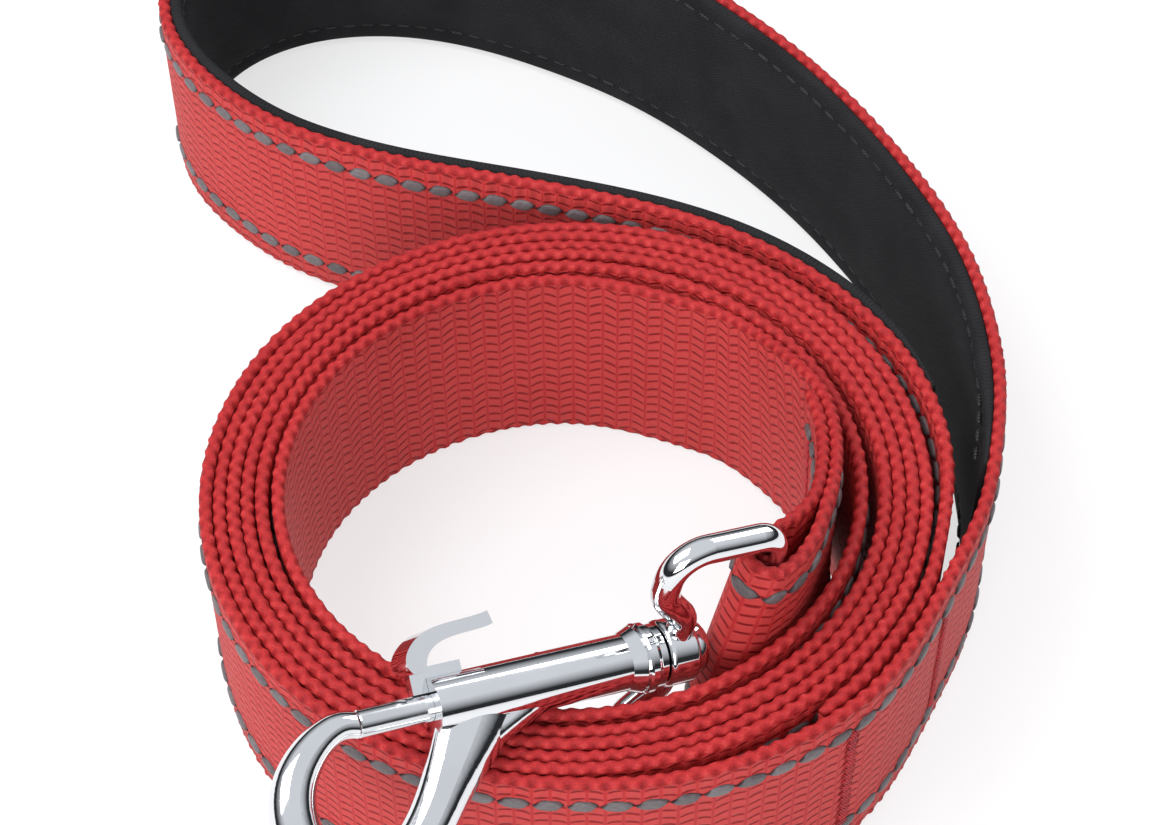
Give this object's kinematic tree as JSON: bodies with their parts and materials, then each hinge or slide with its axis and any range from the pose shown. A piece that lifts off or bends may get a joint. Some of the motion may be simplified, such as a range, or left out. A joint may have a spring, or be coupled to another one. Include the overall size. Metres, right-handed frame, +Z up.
{
  "type": "dog leash",
  "caption": "Flat webbing dog leash coiled on edge, with a padded hand loop, reflective stitching and a swivel bolt snap.",
  "frame": {"origin": "on the table, at the middle of the outline of the coiled leash", "axes": "+Z up, the way the strap's width stands; +Y from the coil towards the hand loop; the snap hangs out over -Y"},
  "size_m": [0.0983, 0.1512, 0.0406],
  "materials": {
    "webbing": "woven nylon, plain, slightly glossy yarns",
    "padding": "matt black neoprene-backed knit",
    "reflective_yarn": "grey retroreflective yarn",
    "pad_thread": "black sewing thread",
    "tack_thread": "red sewing thread",
    "snap_chrome": "polished chrome plate",
    "bolt_steel": "plated steel, drawn",
    "spring_steel": "spring wire"
  },
  "bodies": {
    "strap": {"lead_turn_1": "webbing", "lead_turn_2": "webbing", "lead_turn_3": "webbing", "lead_turn_4": "webbing", "lead_turn_5": "webbing", "lead_turn_6": "webbing", "handle_webbing": "webbing", "snap_end_webbing": "webbing", "handle_pad": "padding", "reflective_yarn_lower": "reflective_yarn", "reflective_yarn_upper": "reflective_yarn", "pad_stitching": "pad_thread", "handle_bar_tacks": "tack_thread", "snap_end_bar_tacks": "tack_thread"},
    "eye": {"swivel_eye": "snap_chrome"},
    "snap": {"snap_body": "snap_chrome", "swivel_rivet": "snap_chrome", "swivel_washer": "snap_chrome", "gate_spring": "spring_steel"},
    "gate": {"gate_bolt": "bolt_steel", "thumb_lever": "snap_chrome"}
  },
  "joints": [
    {"name": "eye_swing", "type": "hinge", "parent": "strap", "child": "eye", "pos_m": [0.019, -0.0427, 0.0227], "axis": [0.2184, 0.1041, 0.9703], "range_deg": [-2, 2]},
    {"name": "snap_swivel", "type": "hinge", "parent": "eye", "child": "snap", "pos_m": [0.019, -0.0427, 0.0227], "axis": [-0.8758, -0.4177, 0.2419], "range_deg": [0, 50]},
    {"name": "gate_slide", "type": "slide", "parent": "snap", "child": "gate", "axis": [0.8758, 0.4177, -0.2419], "range_m": [0, 0.008], "stiffness_N_per_m": 300, "springref_m": -0.004, "deforming": ["gate_spring"]}
  ]
}
